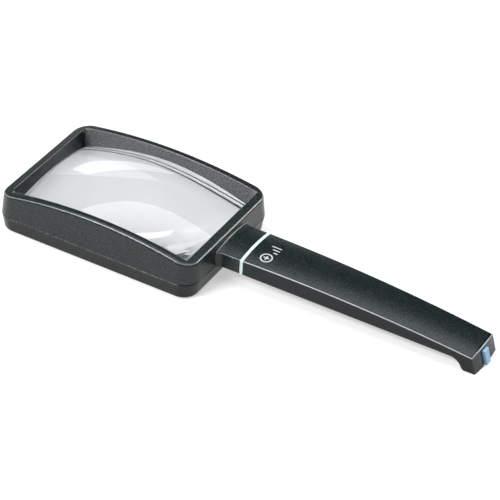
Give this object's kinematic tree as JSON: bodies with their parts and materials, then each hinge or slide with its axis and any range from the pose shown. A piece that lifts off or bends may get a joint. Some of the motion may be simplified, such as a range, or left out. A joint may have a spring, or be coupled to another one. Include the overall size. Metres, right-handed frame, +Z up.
{
  "type": "magnifying glass",
  "caption": "Rectangular hand magnifying glass: thick aspheric lens clamped in an arched two-part frame, light trim ring, and a flat tapered handle with a foot and a coloured end insert.",
  "frame": {"origin": "middle of the whole outline, on the plane that the head and the handle's foot rest on", "axes": "+X from the head to the handle's end, +Y across the handle, +Z up through the lens"},
  "size_m": [0.1878, 0.0578, 0.0191],
  "materials": {
    "grained_black": "moulded black plastic with a fine spark-eroded grain",
    "smooth_black": "moulded black plastic, satin smooth",
    "clear_acrylic": "polished clear acrylic",
    "pale_trim": "pale blue-grey moulded plastic, satin",
    "blue_insert": "light blue moulded plastic, satin",
    "screw_steel": "zinc-plated steel"
  },
  "bodies": {
    "root": {"upper_frame": "grained_black", "lower_frame": "grained_black", "lens": "clear_acrylic", "trim_ring": "pale_trim", "handle_body": "smooth_black", "handle_top": "grained_black", "end_insert": "blue_insert", "handle_screws": "screw_steel"}
  },
  "joints": []
}
